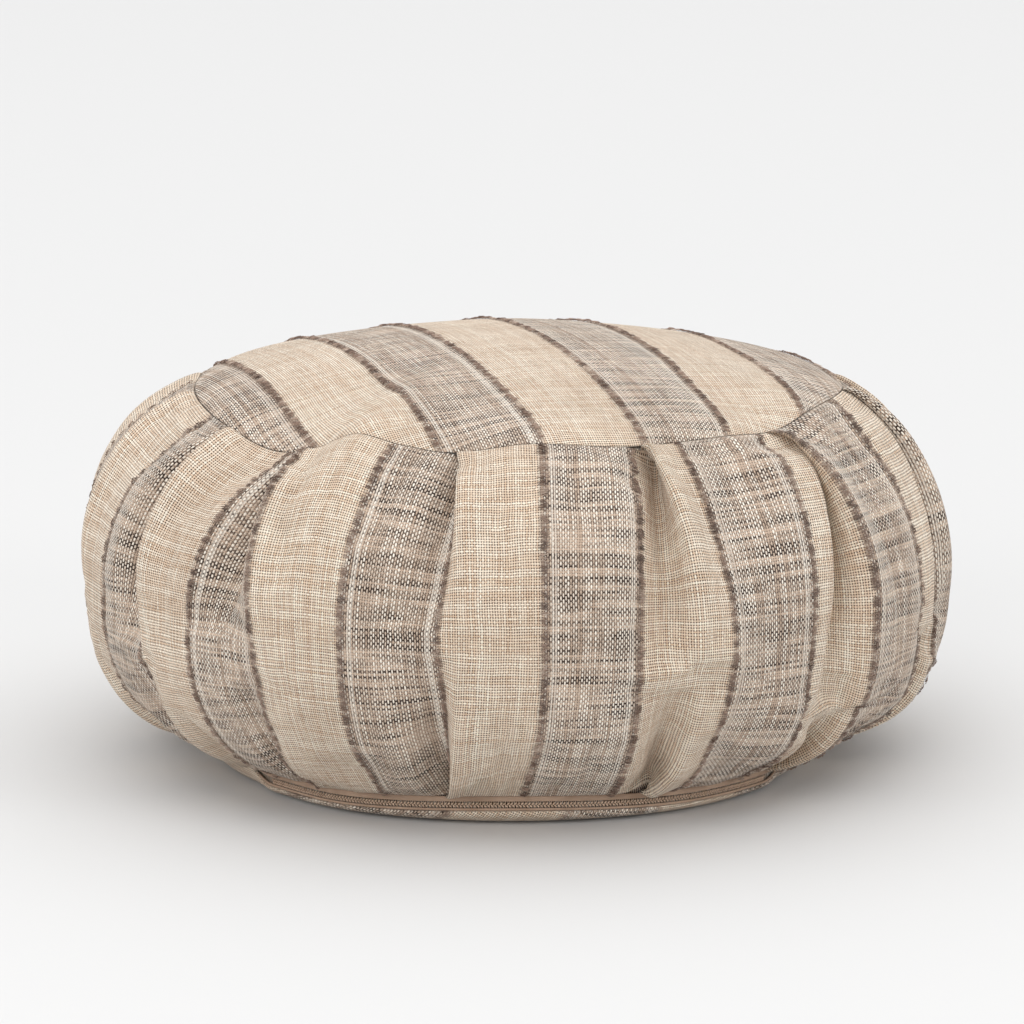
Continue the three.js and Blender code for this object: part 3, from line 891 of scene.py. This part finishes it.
def striped_cloth():
    """The slub cloth: cream and taupe stripes of one plain weave, with streaks along both threads."""
    material, g, shader = fresh_material("striped_slub_cloth", 0.92, 0.12)
    place_on_cloth = g.node("ShaderNodeUVMap", uv_map="cloth").outputs[0]
    weave = g.node("ShaderNodeGroup", {}, node_tree=woven_group())
    weave.inputs["Closer"].default_value = WARP_CLOSER
    g.join(place_on_cloth, weave.inputs["Place"])
    stripes = g.node("ShaderNodeGroup", {}, node_tree=stripe_group())
    g.join(place_on_cloth, stripes.inputs["Place"])
    apart = g.node("ShaderNodeSeparateXYZ", {"Vector": place_on_cloth}).outputs
    warp_shows, gap_and_shade = weave.outputs["Warp shows"], weave.outputs["Gap and thread shade"]
    warp_tint, weft_tint = weave.outputs["Warp tint"], weave.outputs["Weft tint"]

    cream_warp = g.mix(g.between(warp_tint, 0.25, 0.75), rgb(226, 197, 169), rgb(255, 246, 229))
    cream_weft = g.mix(g.between(weft_tint, 0.25, 0.75), rgb(224, 195, 167), rgb(255, 243, 225))
    cream = g.mix(warp_shows, cream_weft, cream_warp)
    # the cream's tan gaps between threads, and painted shade on the threads' low sides
    cream = g.mix(gap_and_shade, cream, rgb(74, 46, 26))

    warp_pale = g.between(warp_tint, 0.28, 0.66)
    taupe_warp = g.mix(warp_pale, rgb(202, 179, 158), rgb(255, 246, 232))
    streak = g.uneven(apart, 38.0, 300.0, 4.0, 3.0, 0.6)
    patch = g.uneven(apart, 30.0, 60.0, 8.0, 2.0, 0.5)
    shade = g.math("ADD", g.math("MULTIPLY", streak, 0.55), g.math("MULTIPLY", patch, 0.15))
    dark = g.between(g.math("ADD", shade, g.math("MULTIPLY", weft_tint, 0.3)), 0.41, 0.58)
    taupe_weft = g.mix(dark, rgb(64, 48, 39), rgb(206, 181, 160))
    taupe = g.mix(warp_shows, taupe_weft, taupe_warp)
    # the taupe's gaps between threads and painted shade on their low sides, weaker over dark weft
    open_gap_and_shade = g.math("MULTIPLY", gap_and_shade, g.math("SUBTRACT", 0.95, g.math("MULTIPLY", dark, 0.45)))
    taupe = g.mix(open_gap_and_shade, taupe, rgb(52, 40, 34))

    cloth = g.mix(stripes.outputs["Taupe"], cream, taupe)
    cloth = g.mix(g.math("MULTIPLY", stripes.outputs["Pale thread"], 0.5), cloth, rgb(236, 227, 215))
    notches = g.uneven(apart, 60.0, 420.0, 6.0, 2.0, 0.6)
    # a brown line along each yarn: partly the yarn's own core, partly painted shade under its fibres,
    # broken by notches
    yarn_core_and_shade = g.math("MULTIPLY", stripes.outputs["Yarn line"], g.between(notches, 0.40, 0.58, 0.1, 0.75))
    cloth = g.mix(yarn_core_and_shade, cloth, rgb(146, 124, 110))
    cloudy = g.noise(g.node("ShaderNodeTexCoord").outputs["Object"], 18.0, 3.0, 0.55)
    clouds = g.mix(g.between(cloudy, 0.3, 0.7), rgb(240, 238, 236), rgb(255, 255, 255))
    cloth = g.mix(1.0, cloth, clouds, "MULTIPLY")
    g.join(cloth, shader.inputs["Base Color"])

    fuzz = g.noise(g.node("ShaderNodeTexCoord").outputs["Object"], 2600.0, 2.0, 0.6)
    height = g.math("ADD", weave.outputs["Height"], g.math("MULTIPLY", fuzz, 0.35))
    g.bump(height, 0.85, 0.0004, shader)
    g.join(g.between(fuzz, 0.3, 0.7, 0.86, 0.98), shader.inputs["Roughness"])
    return material


def fuzzy_yarn():
    """Brown yarn: each fibre lighter or darker by its own tint and a fine pattern in space."""
    material, g, shader = fresh_material("fuzzy_brown_yarn", 0.9, 0.2)
    where = g.node("ShaderNodeTexCoord").outputs["Object"]
    fine = g.noise(where, 1900.0, 2.0, 0.6)
    own = g.node("ShaderNodeAttribute", attribute_name="tint").outputs["Fac"]
    tint = g.math("ADD", own, g.math("MULTIPLY", g.math("SUBTRACT", fine, 0.5), 0.5))
    colour = g.mix(g.between(tint, 0.0, 0.5), rgb(70, 51, 42), rgb(158, 133, 117))
    colour = g.mix(g.between(tint, 0.5, 1.0), colour, rgb(222, 206, 190))
    g.join(colour, shader.inputs["Base Color"])
    g.join(g.between(fine, 0.3, 0.7, 0.8, 0.98), shader.inputs["Roughness"])
    g.bump(fine, 0.4, 0.0002, shader)
    return material


def zip_tape():
    """Zip tape: a fine close rib along the zip from its own flat places, slightly uneven in colour."""
    material, g, shader = fresh_material("woven_zip_tape", 0.85, 0.1)
    place_on_tape = g.node("ShaderNodeUVMap", uv_map="cloth").outputs[0]
    weave = g.node("ShaderNodeGroup", {}, node_tree=bpy.data.node_groups["Woven threads"])
    weave.inputs["Pitch"].default_value = TAPE_PITCH
    weave.inputs["Unevenness"].default_value = 0.02
    g.join(place_on_tape, weave.inputs["Place"])
    cloudy = g.noise(g.node("ShaderNodeTexCoord").outputs["Object"], 90.0, 2.0)
    colour = g.mix(g.between(cloudy, 0.3, 0.7), rgb(168, 141, 120), rgb(194, 166, 144))
    # gaps between the tape's threads and painted shade on their low sides, at 0.4 strength
    colour = g.mix(g.math("MULTIPLY", weave.outputs["Gap and thread shade"], 0.4), colour, rgb(118, 96, 80))
    g.join(colour, shader.inputs["Base Color"])
    g.bump(weave.outputs["Height"], 0.5, 0.0002, shader)
    g.join(g.between(cloudy, 0.3, 0.7, 0.78, 0.9), shader.inputs["Roughness"])
    return material


def zip_nylon():
    """Nylon coil: beige-brown, softly shiny, unevenly lighter and darker."""
    material, g, shader = fresh_material("ribbed_zip_coil", 0.5)
    where = g.node("ShaderNodeTexCoord").outputs["Object"]
    cloudy = g.noise(where, 400.0, 2.0)
    colour = g.mix(g.between(cloudy, 0.3, 0.7), rgb(186, 158, 136), rgb(214, 187, 164))
    g.join(colour, shader.inputs["Base Color"])
    g.join(g.between(cloudy, 0.3, 0.7, 0.42, 0.58), shader.inputs["Roughness"])
    return material


# The zip

ZIP_UPPER, ZIP_COIL, ZIP_LOWER, ZIP_GAP = 0.0026, 0.0026, 0.0011, 0.0003
ZIP_TAIL = 6  # degrees by which the tapes run on into the seam, narrowing
ZIP_RECESS = 0.001
TAPE_THICKNESS = 0.001
BEAD_PITCH = 0.0008


def zip_line(direction):
    """The height of the zip's upper edge and the radius of its face at a direction."""
    top = around(BASE_RING, "height", direction) * MM - ZIP_GAP
    return top, around(BASE_RING, "radius", direction) * MM - ZIP_RECESS


def make_tape(name, below, height):
    """A tape with rounded edges: a flat oval section carried along the base seam, closed at its ends.

    Past the zip's ends it narrows as the seam closes over it.
    """
    direction = np.linspace(ZIP_FROM - ZIP_TAIL, ZIP_TO + ZIP_TAIL, 220)
    top, face = zip_line(direction)
    narrowed = zip_room(direction) / ZIP_DROP
    turn = np.linspace(0, 2 * np.pi, 17)[:-1]
    flat_x = np.sign(np.cos(turn)) * np.abs(np.cos(turn)) ** 0.5
    flat_y = np.sign(np.sin(turn)) * np.abs(np.sin(turn)) ** 0.25
    radius = face[:, None] - TAPE_THICKNESS / 2 + flat_x * TAPE_THICKNESS / 2
    level = (top - (below + height / 2) * narrowed)[:, None] + flat_y * height / 2 * narrowed[:, None]
    points = place(direction[:, None], radius, level)
    return tube_skin(name, points, direction)


def tube_skin(name, points, direction):
    """A closed skin over sections carried along the seam: quads between them, a fan at each end, and
    the length along the seam and the height as its flat places."""
    sections, corners = points.shape[:2]
    ends = points[[0, -1]].mean(axis=1)
    every = np.concatenate([points.reshape(-1, 3), ends])
    quads = wrapped_quads(sections, corners)[2][:, [0, 3, 2, 1]]
    at = np.arange(corners)
    beside = (at + 1) % corners
    first = np.stack([np.full(corners, sections * corners), at, beside], 1)
    base = (sections - 1) * corners
    last = np.stack([np.full(corners, sections * corners + 1), base + beside, base + at], 1)
    faces = quads.tolist() + first.tolist() + last.tolist()
    along = np.radians(direction) * SEAM_RADIUS
    flat = np.stack([np.broadcast_to(along[:, None], (sections, corners)), points[..., 2]], -1)
    flat_all = np.concatenate([flat.reshape(-1, 2), flat[[0, -1]].mean(axis=1)])
    uvs = np.concatenate([flat_all[part].reshape(-1, 2) for part in (quads, first, last)])
    return make_mesh(name, every, faces, uvs)


def make_coil():
    """The zip's coil: slanted beads in two rows that lean towards each other.

    A bead is a small round of six sides, wider than it is thick, and every second one lies in the
    other row.
    """
    below = ZIP_UPPER + ZIP_GAP
    length = np.radians(ZIP_TO - ZIP_FROM) * SEAM_RADIUS
    count = int(length / BEAD_PITCH)
    direction = np.linspace(ZIP_FROM - 1, ZIP_TO + 1, count)
    top, face = zip_line(direction)
    upper = np.arange(count) % 2 == 0
    centre = top - below - ZIP_COIL * np.where(upper, 0.28, 0.72)
    lean = np.where(upper, 0.75, -0.75)
    long_way, short_way, depth = 0.00092, 0.00046, 0.0006
    rings = np.array([-0.62, 0.0, 0.62])
    turn = np.linspace(0, 2 * np.pi, 7)[:-1]
    points = np.empty((count, 2 + 3 * 6, 3))

    def bead_point(along, across, out):
        shift = along * np.sin(lean) - across * np.cos(lean)
        rise = along * np.cos(lean) + across * np.sin(lean)
        return place(direction + np.degrees(shift / SEAM_RADIUS), face - 0.0002 + out, centre + rise)

    points[:, 0] = bead_point(-long_way, 0, 0)
    points[:, 1] = bead_point(long_way, 0, 0)
    for ring, t in enumerate(rings):
        swell = np.sqrt(1 - t * t)
        for corner, angle in enumerate(turn):
            points[:, 2 + ring * 6 + corner] = bead_point(
                t * long_way, short_way * swell * np.cos(angle), depth * swell * np.sin(angle))
    one = []
    for corner in range(6):
        after = (corner + 1) % 6
        one.append((0, 2 + after, 2 + corner))
        for ring in range(2):
            low = 2 + ring * 6
            one.append((low + corner, low + after, low + 6 + after))
            one.append((low + corner, low + 6 + after, low + 6 + corner))
        one.append((1, 14 + corner, 14 + after))
    faces = (np.array(one)[None] + (np.arange(count) * 20)[:, None, None]).reshape(-1, 3)
    return make_mesh("zip_coil_beads", points.reshape(-1, 3), faces.tolist())


# All the pieces

def dress(piece, material, slot, *nodes):
    """Gives a piece its material, rides it on the body and lets it stand for its nodes; its slot is not
    used.
    """
    piece.data.materials.append(material)
    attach(piece, "root")
    if nodes:
        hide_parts(*nodes)
    return piece


rng = np.random.default_rng(11)
cloth_material, yarn_material = striped_cloth(), fuzzy_yarn()
tape_material, coil_material = zip_tape(), zip_nylon()

band, band_cloth, band_rows, band_points = make_filled_band()
dress(band, cloth_material, "striped_cloth", "side_band")

top, top_rings = make_top_panel()
dress(top, cloth_material, "striped_cloth", "top_panel")

bottom, bottom_rings = make_bottom_panel()
dress(bottom, cloth_material, "striped_cloth", "bottom_panel")

band_surface_place = Surface(band_points, band_cloth, band_rows * BAND_HEIGHT)
band_yarn = make_yarn("band_yarn", band_fibres(rng), band_surface_place)
dress(band_yarn, yarn_material, "striped_cloth")

top_yarn = make_yarn("top_yarn", panel_fibres(rng, TOP_LAY, 0.161), PanelSurface(top_rings, TOP_LAY))
dress(top_yarn, yarn_material, "striped_cloth")
edge_fibres = panel_fibres(rng, BOTTOM_LAY, 0.163, 0.150)
bottom_yarn = make_yarn("bottom_yarn", edge_fibres, PanelSurface(bottom_rings, BOTTOM_LAY))
dress(bottom_yarn, yarn_material, "striped_cloth")

tape_upper = make_tape("zip_tape_top", 0, ZIP_UPPER)
dress(tape_upper, tape_material, "zip_tape", "zip_tape_upper")
tape_lower = make_tape("zip_tape_foot", ZIP_UPPER + ZIP_COIL + 2 * ZIP_GAP, ZIP_LOWER)
dress(tape_lower, tape_material, "zip_tape", "zip_tape_lower")
coil = make_coil()
dress(coil, coil_material, "zip_coil", "zip_coil")


# Floor, light and camera

def make_floor():
    """A plain pale floor, far wider than the view."""
    half = 14.0
    corners = np.array([[-half, -half, 0], [half, -half, 0], [half, half, 0], [-half, half, 0]])
    floor = make_mesh("floor", corners, [(0, 1, 2, 3)], smooth_faces=False)
    material, g, shader = fresh_material("pale_floor", 0.9)
    shader.inputs["Base Color"].default_value = rgb(214, 214, 214)
    floor.data.materials.append(material)


def add_area_light(name, size, power, position, target):
    """A soft disk of light that the camera doesn't see, turned to its target."""
    light = bpy.data.lights.new(name, "AREA")
    light.shape = "DISK"
    light.size = size
    light.energy = power
    lamp = bpy.data.objects.new(name, light)
    lamp.visible_camera = False
    lamp.location = position
    lamp.rotation_euler = (Vector(target) - Vector(position)).to_track_quat("-Z", "Y").to_euler()
    bpy.context.scene.collection.objects.link(lamp)


def make_light():
    """An even white surround, a wide light overhead, one before the cushion and two low ones beside it."""
    world = bpy.data.worlds.new("studio")
    world.use_nodes = True
    world.node_tree.nodes["Background"].inputs["Color"].default_value = (1.0, 1.0, 1.0, 1.0)
    world.node_tree.nodes["Background"].inputs["Strength"].default_value = 0.53
    bpy.context.scene.world = world
    add_area_light("overhead", 16.0, 725.0, (0, 3.0, 6.0), (0, 3.0, 0))
    add_area_light("front_left", 2.6, 36.0, (-1.5, -3.5, 1.7), (0, 0, 0.1))
    add_area_light("low_left", 1.2, 12.0, (-2.6, -1.6, 1.0), (-0.1, 0, 0.02))
    add_area_light("low_right", 1.2, 19.0, (2.6, -1.6, 1.0), (0.1, 0, 0.02))


def make_camera():
    """The photograph's view: 12 degrees down from 2.3 m, 0.49 mm of the cushion to a pixel of 1024."""
    distance, pitch, aim_height = 2.3, np.radians(12), 0.1155
    data = bpy.data.cameras.new("camera")
    data.sensor_width = 36
    data.lens = 36 * distance / (0.49 * MM * 1024)
    camera = bpy.data.objects.new("camera", data)
    camera.location = (0, -distance * np.cos(pitch), aim_height + distance * np.sin(pitch))
    camera.rotation_euler = (np.pi / 2 - pitch, 0, 0)
    bpy.context.scene.collection.objects.link(camera)
    bpy.context.scene.camera = camera


make_floor()
make_light()
make_camera()
bpy.context.scene.view_settings.view_transform = "Standard"
